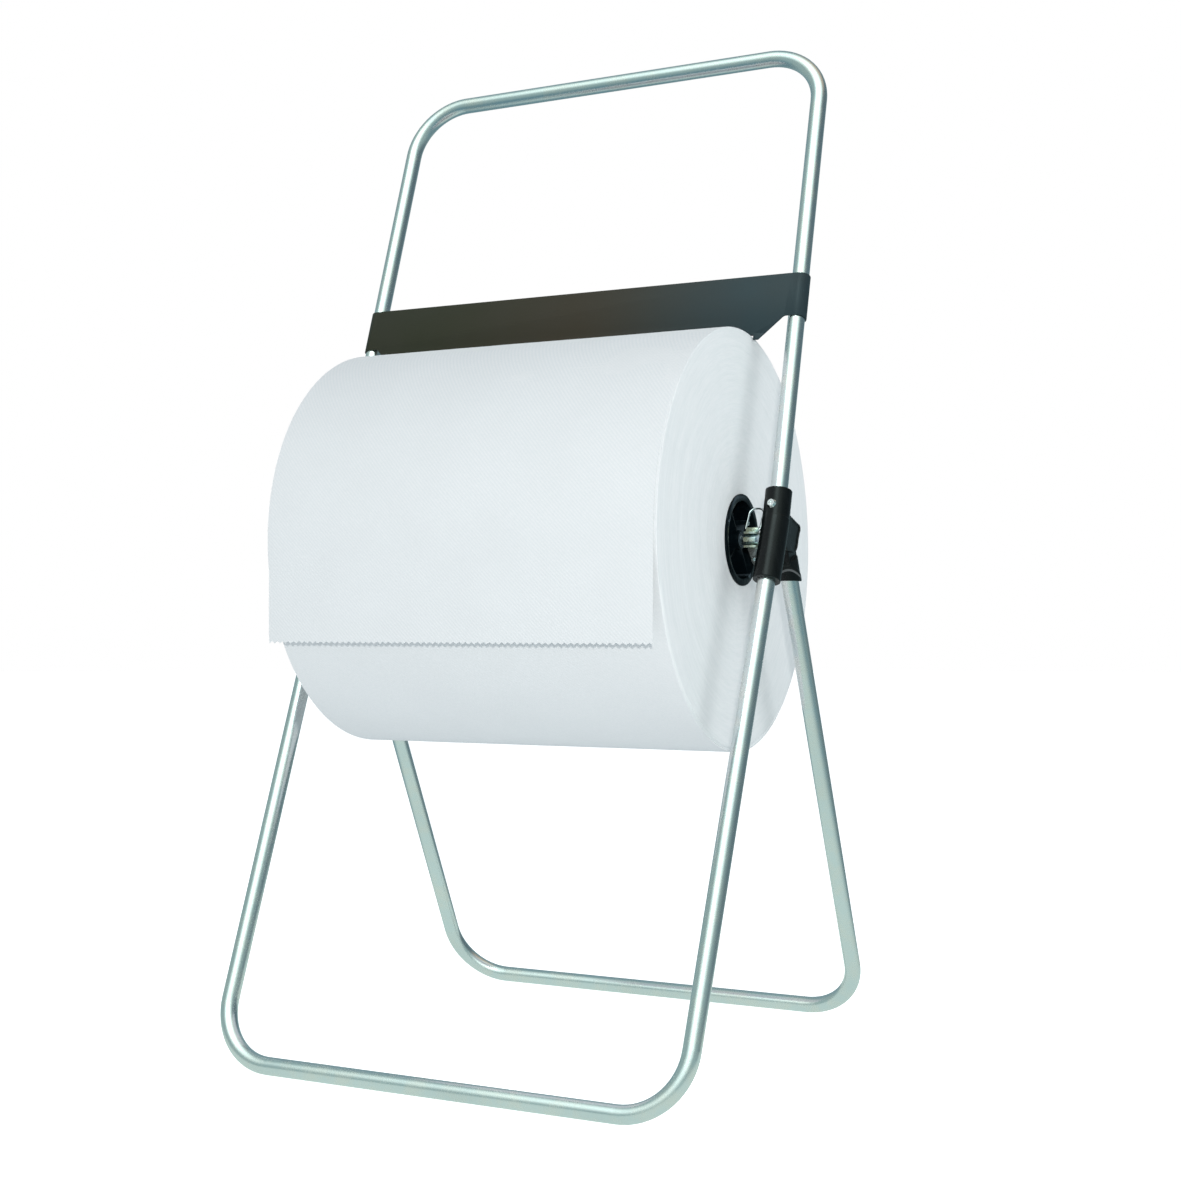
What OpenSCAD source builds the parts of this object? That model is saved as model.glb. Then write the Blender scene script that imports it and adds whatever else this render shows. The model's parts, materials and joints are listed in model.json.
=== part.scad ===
// Folding floor stand for a wide roll of wiping paper.
// Frame: +X to the right along the spindle, +Y to the rear, +Z up.
// The origin lies on the floor, midway between the front and the rear floor bars.

/* [Roll] */
// Diameter of the paper roll
roll_d = 390; // [320:1:391]
// Width of the paper roll
roll_w = 391; // [380:1:391]
// Inner diameter of the cardboard core
core_bore_d = 76.4; // [74:0.2:77]
// Wall of the cardboard core
core_wall = 3; // [2:0.5:3]
// Length of the paper tail below the spindle
tail_drop = 95; // [40:1:150]

/* [Frame tube] */
// Outer diameter of the bent tube
tube_d = 16; // [15:0.5:16]
// Wall of the bent tube
tube_wall = 1.2; // [1:0.1:2]
// Centreline radius of every bend
bend_r = 57; // [50:1:65]

/* [Frame layout] */
// Height of the spindle above the floor
spindle_z = 481; // [470:1:500]
// From the centreline of the frame to the tube at the hinges
side_half = 236; // [234:1:240]
// From the spindle forward to the front floor bar
front_reach = 224; // [210:1:235]
// From the spindle back to the rear floor bar
rear_reach = 238; // [225:1:250]
// From the hinge axis to the line of the front legs
hinge_gap = 23.8; // [23.8:0.1:25]
// Inward taper of each front leg towards the floor, in degrees
front_taper = 0.888; // [0:0.001:1.2]
// Inward taper of each rear leg towards the floor, in degrees
rear_taper = 0.216; // [0:0.001:1.2]
// Inward taper of the upper loop's sides towards the top bar, in degrees
upper_taper = 0.643; // [0:0.001:1.2]
// Height of the bend between the front legs and the upper loop
bend_z = 496.6; // [490:0.2:500]
// Backward lean of the upper loop, in degrees
upper_lean = 18.7; // [16:0.1:21]
// Height of the top bar's centreline
top_bar_z = 969.7; // [900:0.1:1000]

/* [Tear plate] */
// Thickness of the sheet
plate_t = 1.3; // [1:0.1:1.5]
// Top edge, measured along the upper loop from its bend
plate_top = 247.6; // [245:0.2:256]
// Lower end of the part wrapped round the tubes
wrap_low = 203.2; // [202:0.2:206]
// Root line of the teeth
plate_low = 187.2; // [187:0.2:190]
// Pitch of the teeth
tooth_pitch = 4.5; // [4:0.5:8]
// Height of the teeth
tooth_h = 2.5; // [1.5:0.5:2.5]

/* [Hinge] */
// Outer diameter of the front sleeve
sleeve_d = 25; // [22:0.2:25]
// Length of the front sleeve above the bend
sleeve_up = 29; // [26:1:36]
// Length of the front sleeve below the bend
sleeve_down = 59; // [50:1:62]
// Diameter of the hinge stud
bolt_d = 6; // [5:0.5:6]
// Outer diameter of the rear socket
socket_d = 21; // [20:0.2:21]
// Height of the socket's level lower end above the floor
socket_low_z = 443; // [440:1:446]

/* [Spindle] */
// Diameter of the spindle rod
rod_d = 10; // [8:0.5:10]
// Half length of the spindle rod
rod_half = 217.5; // [215:0.5:217.5]
// Diameter of the core plug's flange
plug_flange_d = 84.6; // [84:0.2:88]
// Number of ribs in a core plug
plug_ribs = 4; // [3:1:8]

/* [Saddle] */
// Thickness of the jaw and bracket sheet
sheet_t = 2; // [1.6:0.1:2]
// Diameter of the bail wire
wire_d = 2.2; // [1.8:0.1:2.2]
// Length of the bail, from its hinge to its cross wire
bail_l = 25; // [22:1:28]
// Backward lean of the open bail, in degrees
bail_lean = 34; // [28:1:42]

/* [Hidden] */
SIDES = [-1, 1];
$fn = 64;

// Running clearance of a shaft, and the gap left between loosely fitted pieces
run_gap = 0.06;
fit_gap = 0.1;
move_gap = 0.3;

tube_r = tube_d / 2;
bend_swell = 0.02;
bend_seat = 0.6;
axis_y = (front_reach - rear_reach) / 2;

// The front leg line touches a circle of radius hinge_gap round the hinge axis
bar_drop = spindle_z - tube_r;
front_lean = atan2(front_reach, bar_drop) - asin(hinge_gap / norm([front_reach, bar_drop]));
rear_lean = atan2(rear_reach, bar_drop);
front_len = (bend_z - tube_r) / cos(front_lean);
rear_len = norm([rear_reach, bar_drop]);
upper_len = (top_bar_z - bend_z) / cos(upper_lean);
bend_y = axis_y - front_reach + front_len * sin(front_lean);
top_bar_y = bend_y + upper_len * sin(upper_lean);

// Half width of each bar, measured where the leg lines cross it
front_bar_half = side_half - front_len * tan(front_taper);
rear_bar_half = side_half - rear_len * tan(rear_taper);
top_bar_half = side_half - upper_len * tan(upper_taper);

// How far a tube stops short of the bend in its sleeve, and of the hinge in its socket
tube_stop = 4;
socket_stop = 22.5;
socket_reach = 60;
band_at = 37.2;
band_tilt = -55;
band_w = 2.6;
band_h = 0.4;

// Fork of the front sleeve: inner and outer faces of its cheeks, from the tube's plane
cheek_in = 7;
cheek_out = 10.5;
cheek_recess = 1;
lobe_end = [14.3, 9.6];
lobe_r = 4.2;
lip_w = 1.6;
tongue_half = cheek_in - move_gap;
shoulder = 19;
eye_r = socket_d / 2;
seam_step = 0.3;
seam_lap = 1.2;

// Hinge hardware
stud_cover = 0.8;
nut_af = 10;
nut_h = 4.6;
screw_r = 2;
screw_head_r = 4.4;
screw_up = 12.2;
screw_turn = 5.5;

// Saddle: the jaw wraps the rod and is open to the front
jaw_r = rod_d / 2 + move_gap;
jaw_x = 200.2;
jaw_w = 11.5;
jaw_lip = 6;
jaw_tail = 24;
bracket_y = jaw_r + sheet_t + fit_gap;
flange_x = side_half - cheek_out - sheet_t;
flange_r = 8.5;
knuckle_y = 2;
knuckle_z = 9;
knuckle_r = 2.4;
wire_r = wire_d / 2;
bracket_low = -31.5;
bracket_top = 13;
bail_side = 1.45;
bail_bend = 1.4;
bail_round = 6.5;
rivet_x = 206.8;
rivet_z = -18;
bracket_screw_z = -10.5;

// Core plug
plug_r = core_bore_d / 2 - fit_gap;
plug_depth = 30;
plug_wall = 2;
plug_hub_r = 9;
hub_step = 1.9;
flange_t = 1.55;
rib_t = 1.6;
rib_turn = 37;
plug_face = roll_w / 2 + fit_gap / 2;
plug_screw_at = 27;
plug_screw_r = 1.3;
plug_boss_r = 3;
screw_rib_turn = rib_turn + 360 / plug_ribs;
clip_t = 1.2;
clip_r = 7;

// ---------- placing ----------

// Children stand in the frame of the hinge and spindle axis
module at_axis() {
    translate([0, axis_y, spindle_z]) children();
}

// Children drawn for the right-hand side are mirrored to the other
module on_side(side) {
    mirror([side < 0 ? 1 : 0, 0, 0]) children();
}

// X of the arc centre at a corner, rounded so that bar and bend meet exactly
function corner_x(bar_half, taper) =
    round(10 * (bar_half - bend_r * tan(45 - taper / 2))) / 10;

// Length of the straight leg from its bend to a point this far from the bar
function leg_run(len, taper) = len / cos(taper) - bend_r * tan(45 - taper / 2);

// Children's +Z runs along the right leg, from the end of its bend
module along_leg(bar_half, taper) {
    translate([corner_x(bar_half, taper), 0, bend_r])
        rotate([90, 0, 0])
            rotate([0, 0, -taper])
                translate([bend_r, 0, 0])
                    rotate([-90, 0, 0])
                        children();
}

module front_plane() {
    translate([0, axis_y - front_reach, tube_r]) rotate([-front_lean, 0, 0]) children();
}

module rear_plane() {
    translate([0, axis_y + rear_reach, tube_r]) rotate([rear_lean, 0, 0]) children();
}

module top_plane() {
    translate([0, top_bar_y, top_bar_z]) rotate([180 - upper_lean, 0, 0]) children();
}

// Plane of the upper loop with its origin at the bend, +Z up the loop, +Y to its rear
module upper_plane() {
    translate([0, bend_y, bend_z]) rotate([-upper_lean, 0, 0]) children();
}

// Children's +Z runs up the right tube of the upper loop, from the bend
module up_tube() {
    upper_plane() translate([side_half, 0, 0]) rotate([0, -upper_taper, 0]) children();
}

// ---------- bent tube ----------

// Section of the tube's wall, made thicker both ways by swell
module tube_ring(swell = 0) {
    difference() {
        circle(r = tube_r + swell);
        circle(r = tube_r - tube_wall - swell);
    }
}

// A floor or top bar along X with a bend and a leg at each end. The bends swell a little,
// as bent tube does, and the straight runs start just inside them.
module tube_loop(bar_half, taper, run) {
    half = corner_x(bar_half, taper);
    translate([-half - bend_seat, 0, 0])
        rotate([0, 90, 0]) linear_extrude(2 * (half + bend_seat)) tube_ring();
    for (side = SIDES) {
        on_side(side) {
            translate([half, 0, bend_r])
                rotate([90, 0, 0])
                    rotate([0, 0, -90])
                        rotate_extrude(angle = 90 - taper, $fn = 128)
                            translate([bend_r, 0]) tube_ring(bend_swell);
            along_leg(bar_half, taper)
                translate([0, 0, -bend_seat]) linear_extrude(run + bend_seat) tube_ring();
        }
    }
}

// Drill for the screw through sleeve and tube, pointing forward and a little inboard
module screw_axis() {
    up_tube() translate([0, 0, screw_up]) rotate([90, 0, -screw_turn]) children();
}

module upper_loop() {
    color("gainsboro")
        difference() {
            top_plane()
                tube_loop(top_bar_half, upper_taper, leg_run(upper_len - tube_stop, upper_taper));
            for (side = SIDES) {
                on_side(side) screw_axis() cylinder(r = screw_r + fit_gap, h = sleeve_d);
            }
        }
}

module front_leg_loop() {
    color("gainsboro")
        front_plane()
            tube_loop(front_bar_half, front_taper, leg_run(front_len - tube_stop, front_taper));
}

module rear_leg_loop() {
    color("gainsboro")
        rear_plane()
            tube_loop(rear_bar_half, rear_taper, leg_run(rear_len - socket_stop, rear_taper));
}

// ---------- tear plate ----------

plate_in = tube_r + fit_gap;
plate_out = plate_in + plate_t;
plate_half = side_half - 9;
plate_lap = 18;
corner_half = side_half - 11.5;
notch_half = 197.5;
foot_low = plate_low - tooth_h;
ear_drop = 4.7;
ear_in = 196.3;
hook_reach = 5;
tooth_n = floor(2 * notch_half / tooth_pitch) - 1;
tooth_half = tooth_n * tooth_pitch / 2;

// Lower end of the right-hand side: a corner cut at 45 degrees down to the teeth's tips
end_points = [
    [notch_half, plate_low], [notch_half, foot_low], [corner_half - wrap_low + foot_low, foot_low],
    [corner_half - 1.2, wrap_low - 1.2], [corner_half + 0.4, wrap_low - 0.3],
    [corner_half + 1.7, wrap_low], [plate_half, wrap_low], [plate_half, plate_top]
];
end_last = len(end_points) - 1;

// Straight top, and a row of pointed teeth between the ears
module plate_outline() {
    teeth = [
        for (i = [0:tooth_n - 1])
            for (step = [0, 0.5])
                [-tooth_half + (i + step) * tooth_pitch, plate_low - (step > 0 ? tooth_h : 0)]
    ];
    polygon(concat(
        [for (i = [end_last:-1:0]) [-end_points[i][0], end_points[i][1]]],
        teeth,
        [[tooth_half, plate_low]],
        end_points
    ));
}

// Foot of the corner cut, beyond the end of the roll
module ear_outline() {
    top = foot_low - fit_gap / 2;
    out_x = corner_half - wrap_low + top;
    polygon([
        [ear_in, top], [ear_in, foot_low - ear_drop], [out_x - ear_drop, foot_low - ear_drop],
        [out_x, top]
    ]);
}

module plate_ears() {
    color("#33322e")
        upper_plane()
            for (side = SIDES) {
                on_side(side)
                    translate([0, -plate_in, 0])
                        rotate([90, 0, 0])
                            linear_extrude(plate_t) ear_outline();
            }
}

// Cross-section of the end that is rolled round a tube, open on the inner rear side
module wrap_profile() {
    difference() {
        circle(r = plate_out);
        circle(r = plate_in);
        translate([-2 * plate_out, -2 * plate_out]) square([2 * plate_out, 2 * plate_out]);
        translate([-2 * plate_out - hook_reach, -plate_out])
            square([2 * plate_out, 3 * plate_out]);
    }
    translate([-plate_lap, -plate_out]) square([plate_lap, plate_t]);
}

module tear_plate() {
    color("#33322e") {
        upper_plane()
            translate([0, -plate_in, 0])
                rotate([90, 0, 0])
                    linear_extrude(plate_t) plate_outline();
        for (side = SIDES) {
            on_side(side)
                up_tube()
                    translate([0, 0, wrap_low])
                        linear_extrude(plate_top - wrap_low) wrap_profile();
        }
    }
}

// ---------- hinge ----------

// Points on the front leg line, seen from the side: s below the foot of the hinge's perpendicular
function on_leg(s) = [
    -hinge_gap * cos(front_lean) - s * sin(front_lean),
    hinge_gap * sin(front_lean) - s * cos(front_lean)
];

// Side outline of a fork cheek about the hinge axis: [rearward, upward]
module cheek_outline() {
    polygon([
        on_leg(-16), [-11, 20.9], [14.3, 13.5], [16.6, 6.6], [12.2, -2], [2, -12.3],
        [-17.2, -11.6], on_leg(14)
    ]);
    circle(r = 12.5);
    translate(lobe_end) circle(r = lobe_r);
}

// Shallow recess in the outer cheek, which leaves a lip round the lobe
module recess_outline() {
    polygon([[-4.5, 17.4], [14.3, 12], [15.9, 8.4], [10.6, -1.3], [0, -6], [-9.6, 4]]);
    circle(r = 12.5 - lip_w);
    translate(lobe_end) circle(r = lobe_r - lip_w);
}

// Children drawn as [rearward, upward] are extruded along +X from x0 to x1
module side_slab(x0, x1) {
    translate([x0, 0, 0])
        rotate([90, 0, 90])
            linear_extrude(x1 - x0) children();
}

// Wall between the cheeks that stops the socket at its open position
module stop_wall_outline() {
    gap = eye_r + move_gap;
    lean = rear_lean;
    stop_up = [gap * cos(lean) - 6 * sin(lean), gap * sin(lean) + 6 * cos(lean)];
    stop_low = [gap * cos(lean) + 4 * sin(lean), gap * sin(lean) - 4 * cos(lean)];
    polygon([
        stop_up, stop_low, [stop_low[0] + 1.8, stop_low[1]], [16, 10.9], [13, 13.6],
        [3, 16.6], [3, 12.6]
    ]);
}

// Two barrels that meet at the bend. The lower one ends in a fine step past it.
module sleeve_shell() {
    r = sleeve_d / 2;
    run = leg_run(front_len, front_taper);
    front_plane()
        along_leg(front_bar_half, front_taper)
            translate([0, 0, run - sleeve_down]) cylinder(r = r, h = sleeve_down + seam_lap);
    up_tube()
        translate([0, 0, -seam_lap]) cylinder(r = r - seam_step, h = sleeve_up + seam_lap);
}

module sleeve_bores() {
    r = tube_r + run_gap;
    run = leg_run(front_len - tube_stop, front_taper);
    front_plane()
        along_leg(front_bar_half, front_taper)
            translate([0, 0, run - sleeve_down]) cylinder(r = r, h = sleeve_down);
    up_tube() translate([0, 0, tube_stop]) cylinder(r = r, h = sleeve_up);
    screw_axis() cylinder(r = screw_r + fit_gap, h = sleeve_d);
}

module front_sleeve(side) {
    color("#26282a")
        on_side(side)
            difference() {
                union() {
                    sleeve_shell();
                    at_axis() {
                        side_slab(side_half + cheek_in, side_half + cheek_out) cheek_outline();
                        side_slab(side_half - cheek_out, side_half - cheek_in) cheek_outline();
                        side_slab(side_half - cheek_in, side_half + cheek_in)
                            stop_wall_outline();
                    }
                }
                sleeve_bores();
                at_axis() {
                    side_slab(side_half + cheek_out - cheek_recess, side_half + cheek_out + 1)
                        recess_outline();
                    translate([side_half - cheek_out - 1, 0, 0])
                        rotate([0, 90, 0])
                            cylinder(
                                r = bolt_d / 2 + run_gap,
                                h = 2 * cheek_out + 1 - cheek_recess - stud_cover
                            );
                    translate([flange_x, 0, bracket_screw_z])
                        rotate([0, 90, 0]) cylinder(r = 1.5 + run_gap, h = 5.4);
                }
            }
}

// Level cut below the socket, so that its lower lip lies flat
module below_socket() {
    size = [2 * side_half, 150, 100];
    translate([0, axis_y - size[1] / 3, socket_low_z - size[2]]) cube(size);
}

// Children's +Z runs up the right rear leg and its origin is this far below the hinge
module below_hinge(distance) {
    rear_plane()
        along_leg(rear_bar_half, rear_taper)
            translate([0, 0, leg_run(rear_len, rear_taper) - distance]) children();
}

// Raised band round the socket, tilted like the arch of its mouth
module socket_band() {
    below_hinge(band_at)
        rotate([band_tilt, 0, 0])
            intersection() {
                cylinder(r = 2 * eye_r, h = band_w);
                rotate([-band_tilt, 0, 0])
                    translate([0, 0, -3 * eye_r]) cylinder(r = eye_r + band_h, h = 6 * eye_r);
            }
}

module rear_socket(side) {
    color("#232527")
        on_side(side)
            difference() {
                union() {
                    below_hinge(socket_reach) cylinder(r = eye_r, h = socket_reach - shoulder);
                    socket_band();
                    at_axis() {
                        side_slab(side_half - tongue_half, side_half + tongue_half)
                            rotate(rear_lean)
                                translate([-eye_r, -shoulder - 3]) square([2 * eye_r, shoulder + 3]);
                        side_slab(side_half - tongue_half, side_half + tongue_half)
                            circle(r = eye_r);
                    }
                }
                below_socket();
                below_hinge(socket_stop + socket_reach)
                    cylinder(r = tube_r + run_gap, h = socket_reach);
                at_axis()
                    translate([side_half - cheek_out, 0, 0])
                        rotate([0, 90, 0])
                            cylinder(r = bolt_d / 2 + run_gap, h = 2 * cheek_out);
            }
}

// Headless stud. Its outer end is hidden in a blind hole, its inner end takes the nut.
module pivot_stud() {
    out_x = side_half + cheek_out - cheek_recess - stud_cover - fit_gap;
    end_x = flange_x - nut_h - 0.4;
    translate([end_x, 0, 0]) rotate([0, 90, 0]) cylinder(r = bolt_d / 2, h = out_x - end_x);
}

module pivot_studs() {
    color("silver") for (side = SIDES) on_side(side) at_axis() pivot_stud();
}

module pivot_nuts() {
    color("silver")
        for (side = SIDES) {
            on_side(side)
                at_axis()
                    translate([flange_x - nut_h, 0, 0])
                        rotate([0, 90, 0])
                            difference() {
                                cylinder(d = nut_af / cos(30), h = nut_h, $fn = 6);
                                translate([0, 0, -1]) cylinder(r = bolt_d / 2 + run_gap, h = nut_h + 2);
                            }
        }
}

// Pan-head screw along +Z with its head's seat at z = seat and its point at the origin's side
module pan_screw(seat, depth, shank_r, head_r, head_h) {
    translate([0, 0, seat - depth]) cylinder(r = shank_r, h = depth + 0.5);
    difference() {
        translate([0, 0, seat]) cylinder(r1 = head_r, r2 = head_r * 0.72, h = head_h);
        for (turn = [0, 90]) {
            rotate(turn)
                translate([-head_r * 0.5, -0.35, seat + head_h - 0.9])
                    cube([head_r, 0.7, 2]);
        }
    }
}

module sleeve_screws() {
    color("silver")
        for (side = SIDES) {
            on_side(side)
                screw_axis() pan_screw(sleeve_d / 2 - 0.3, 7, screw_r, screw_head_r, 2.2);
        }
}

// ---------- saddle ----------

slope_top = [jaw_x, -7];
slope_low = [209.5, bracket_low];

// Front view of the bracket: [outward, upward], with its inner edge sloping like a shelf bracket
module bracket_outline() {
    edge_x = flange_x + sheet_t - 2 * move_gap;
    step_x = jaw_x + jaw_w + 4 * fit_gap;
    polygon([
        [jaw_x, 6.5], slope_top, slope_low, [edge_x, bracket_low],
        [edge_x, bracket_top], [step_x, bracket_top], [step_x, 6.5]
    ]);
}

module flange_outline() {
    half_w = 4.5;
    low = -15;
    circle(r = flange_r);
    translate([-half_w, low]) square([2 * half_w, -low]);
    translate([0, low]) square([bracket_y + sheet_t, flange_r - low]);
}

module bracket(side) {
    color("#8d9296")
        on_side(side)
            at_axis()
                difference() {
                    union() {
                        translate([0, bracket_y + sheet_t, 0])
                            rotate([90, 0, 0]) linear_extrude(sheet_t) bracket_outline();
                        side_slab(flange_x, flange_x + sheet_t) flange_outline();
                    }
                    translate([flange_x - 1, 0, 0])
                        rotate([0, 90, 0]) cylinder(r = bolt_d / 2 + run_gap, h = sheet_t + 2);
                    translate([flange_x - 1, 0, bracket_screw_z])
                        rotate([0, 90, 0]) cylinder(r = 1.5 + run_gap, h = sheet_t + 2);
                    translate([rivet_x, 0, rivet_z])
                        rotate([-90, 0, 0]) cylinder(r = 2.2 + run_gap, h = 20);
                }
}

// Side view of the jaw: a U open to the front, a tail behind and a knuckle for the bail
module jaw_outline() {
    difference() {
        union() {
            circle(r = jaw_r + sheet_t);
            translate([-jaw_lip, -jaw_r - sheet_t]) square([jaw_lip, 2 * (jaw_r + sheet_t)]);
            translate([jaw_r, -jaw_tail]) square([sheet_t, jaw_tail]);
            translate([knuckle_y, knuckle_z]) circle(r = knuckle_r);
        }
        circle(r = jaw_r);
        translate([-jaw_lip - 1, -jaw_r]) square([jaw_lip + 1, 2 * jaw_r]);
        translate([knuckle_y, knuckle_z]) circle(r = wire_r + run_gap);
    }
}

module jaw(side) {
    color("#c9c6a0")
        on_side(side)
            at_axis()
                difference() {
                    side_slab(jaw_x, jaw_x + jaw_w) jaw_outline();
                    translate([0, bracket_y, 0])
                        rotate([90, 0, 0])
                            linear_extrude(2 * sheet_t)
                                polygon([
                                    slope_top - [2, 2], slope_top - [0, 2],
                                    slope_low - [0, 2], slope_low - [12, 2]
                                ]);
                    translate([rivet_x, 0, rivet_z])
                        rotate([-90, 0, 0]) cylinder(r = 2.2 + run_gap, h = 20);
                }
}

module bracket_screws() {
    color("silver")
        for (side = SIDES) {
            on_side(side)
                at_axis()
                    translate([0, 0, bracket_screw_z])
                        rotate([0, -90, 0])
                            pan_screw(-flange_x, 5.2, 1.5, 2.8, 1.8);
        }
}

// Tubular rivets that hold each jaw to its bracket
module jaw_rivets() {
    front_y = jaw_r - 0.8;
    back_y = bracket_y + sheet_t;
    color("silver")
        for (side = SIDES) {
            on_side(side)
                at_axis()
                    translate([rivet_x, front_y, rivet_z])
                        rotate([-90, 0, 0])
                            difference() {
                                union() {
                                    cylinder(r = 3.4, h = 0.8);
                                    cylinder(r = 2.2, h = back_y - front_y + 0.8);
                                    translate([0, 0, back_y - front_y])
                                        cylinder(r = 3.2, h = 0.8);
                                }
                                translate([0, 0, -1]) cylinder(r = 1.4, h = 12);
                            }
        }
}

// Closed wire loop: a hinge run through the jaw's knuckle, two legs and a cross wire
module bail(side) {
    inner_x = jaw_x - bail_side;
    outer_x = jaw_x + jaw_w + bail_side;
    ends = [[0, bail_bend, 180], [bail_l, bail_round, 90]];
    color("#d9dadb")
        on_side(side)
            at_axis()
                translate([0, knuckle_y, knuckle_z])
                    rotate([-bail_lean, 0, 0]) {
                        for (leg_x = [inner_x, outer_x]) {
                            translate([leg_x, 0, bail_bend])
                                cylinder(r = wire_r, h = bail_l - bail_bend - bail_round);
                        }
                        for (end = ends) {
                            bend = end[1];
                            low = end[0] == 0;
                            centre_z = end[0] + (low ? bend : -bend);
                            translate([inner_x + bend, 0, end[0]])
                                rotate([0, 90, 0])
                                    cylinder(r = wire_r, h = outer_x - inner_x - 2 * bend);
                            translate([inner_x + bend, 0, centre_z])
                                rotate([90, 0, 0])
                                    rotate([0, 0, end[2]])
                                        rotate_extrude(angle = 90)
                                            translate([bend, 0]) circle(r = wire_r);
                            translate([outer_x - bend, 0, centre_z])
                                rotate([90, 0, 0])
                                    rotate([0, 0, low ? 270 : 0])
                                        rotate_extrude(angle = 90)
                                            translate([bend, 0]) circle(r = wire_r);
                        }
                    }
}

// ---------- spindle and roll ----------

// Children's +Z runs along +X from the centre plane
module along_spindle() {
    at_axis() rotate([0, 90, 0]) children();
}

module spindle_rod() {
    r = rod_d / 2;
    color("#b9c0c6")
        along_spindle() {
            translate([0, 0, 1 - rod_half]) cylinder(r = r, h = 2 * rod_half - 2);
            translate([0, 0, rod_half - 1]) cylinder(r1 = r, r2 = r - 1, h = 1);
            translate([0, 0, -rod_half]) cylinder(r1 = r - 1, r2 = r, h = 1);
        }
}

// Open retaining clips just outside the hubs
module spindle_clips() {
    clip_x = plug_face + flange_t - hub_step + 0.2;
    color("silver")
        for (side = SIDES) {
            on_side(side)
                at_axis()
                    side_slab(clip_x, clip_x + clip_t)
                        difference() {
                            circle(r = clip_r);
                            circle(r = rod_d / 2 + 0.02);
                            translate([-2, -clip_r - 1]) square([4, clip_r + 1]);
                        }
        }
}

// Half section of a plug: [radius, distance out from the inner end]
module plug_section() {
    face = plug_depth + flange_t;
    bore = rod_d / 2 + run_gap;
    polygon([
        [bore, 0], [plug_r, 0], [plug_r, plug_depth], [plug_flange_d / 2, plug_depth],
        [plug_flange_d / 2, face], [plug_r - plug_wall, face], [plug_r - plug_wall, 2.5],
        [plug_hub_r, 2.5], [plug_hub_r, face - hub_step], [bore, face - hub_step]
    ]);
}

module core_plug(side) {
    color("#101214")
        on_side(side)
            along_spindle()
                translate([0, 0, plug_face - plug_depth])
                    difference() {
                        union() {
                            rotate_extrude($fn = 96) plug_section();
                            for (i = [0:plug_ribs - 1]) {
                                rotate(rib_turn + i * 360 / plug_ribs)
                                    translate([plug_hub_r - 1, -rib_t / 2, 1])
                                        cube([plug_r - plug_hub_r, rib_t, plug_depth - 3]);
                            }
                            rotate(screw_rib_turn)
                                translate([plug_screw_at, 0, 1])
                                    cylinder(r = plug_boss_r, h = plug_depth - 3);
                        }
                        rotate(screw_rib_turn)
                            translate([plug_screw_at, 0, plug_depth - 12])
                                cylinder(r = plug_screw_r + run_gap, h = 20);
                    }
}

module plug_screws() {
    color("silver")
        for (side = SIDES) {
            on_side(side)
                along_spindle()
                    translate([0, 0, plug_face - plug_depth])
                        rotate(screw_rib_turn)
                            translate([plug_screw_at, 0, 0])
                                pan_screw(plug_depth - 2, 8, plug_screw_r, 2.4, 1.6);
        }
}

module core_tube() {
    color("#a98d68")
        along_spindle()
            difference() {
                cylinder(r = core_bore_d / 2 + core_wall, h = roll_w, center = true);
                cylinder(r = core_bore_d / 2, h = roll_w + 2, center = true);
            }
}

module paper_roll() {
    color("#e2eaec")
        along_spindle()
            difference() {
                cylinder(r = roll_d / 2, h = roll_w, center = true, $fn = 180);
                cylinder(r = core_bore_d / 2 + core_wall + 0.05, h = roll_w + 2, center = true);
            }
}

// Free end of the paper, hanging from the front of the roll
module paper_tail() {
    tail_t = 0.5;
    tail_w = roll_w - 6;
    color("#ebf0f2")
        at_axis()
            translate([-tail_w / 2, -roll_d / 2 - 0.4 - tail_t, -tail_drop])
                cube([tail_w, tail_t, tail_drop]);
}

upper_loop();
front_leg_loop();
rear_leg_loop();
tear_plate();
plate_ears();
front_sleeve(-1);  // left_front_sleeve
front_sleeve(1);  // right_front_sleeve
rear_socket(-1);  // left_rear_socket
rear_socket(1);  // right_rear_socket
pivot_studs();
pivot_nuts();
sleeve_screws();
bracket(-1);  // left_bracket
bracket(1);  // right_bracket
jaw(-1);  // left_jaw
jaw(1);  // right_jaw
bracket_screws();
jaw_rivets();
bail(-1);  // left_bail
bail(1);  // right_bail
spindle_rod();
spindle_clips();
core_plug(-1);  // left_core_plug
core_plug(1);  // right_core_plug
plug_screws();
core_tube();
paper_roll();
paper_tail();
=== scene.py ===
"""Looks of a folding floor stand with a wide roll of wiping paper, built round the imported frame.

Lengths are in metres, in the frame's own axes: +X to the right along the spindle, +Y to the
rear, +Z up.
"""
import json
import math

import bmesh
import bpy
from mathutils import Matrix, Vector, noise


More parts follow.
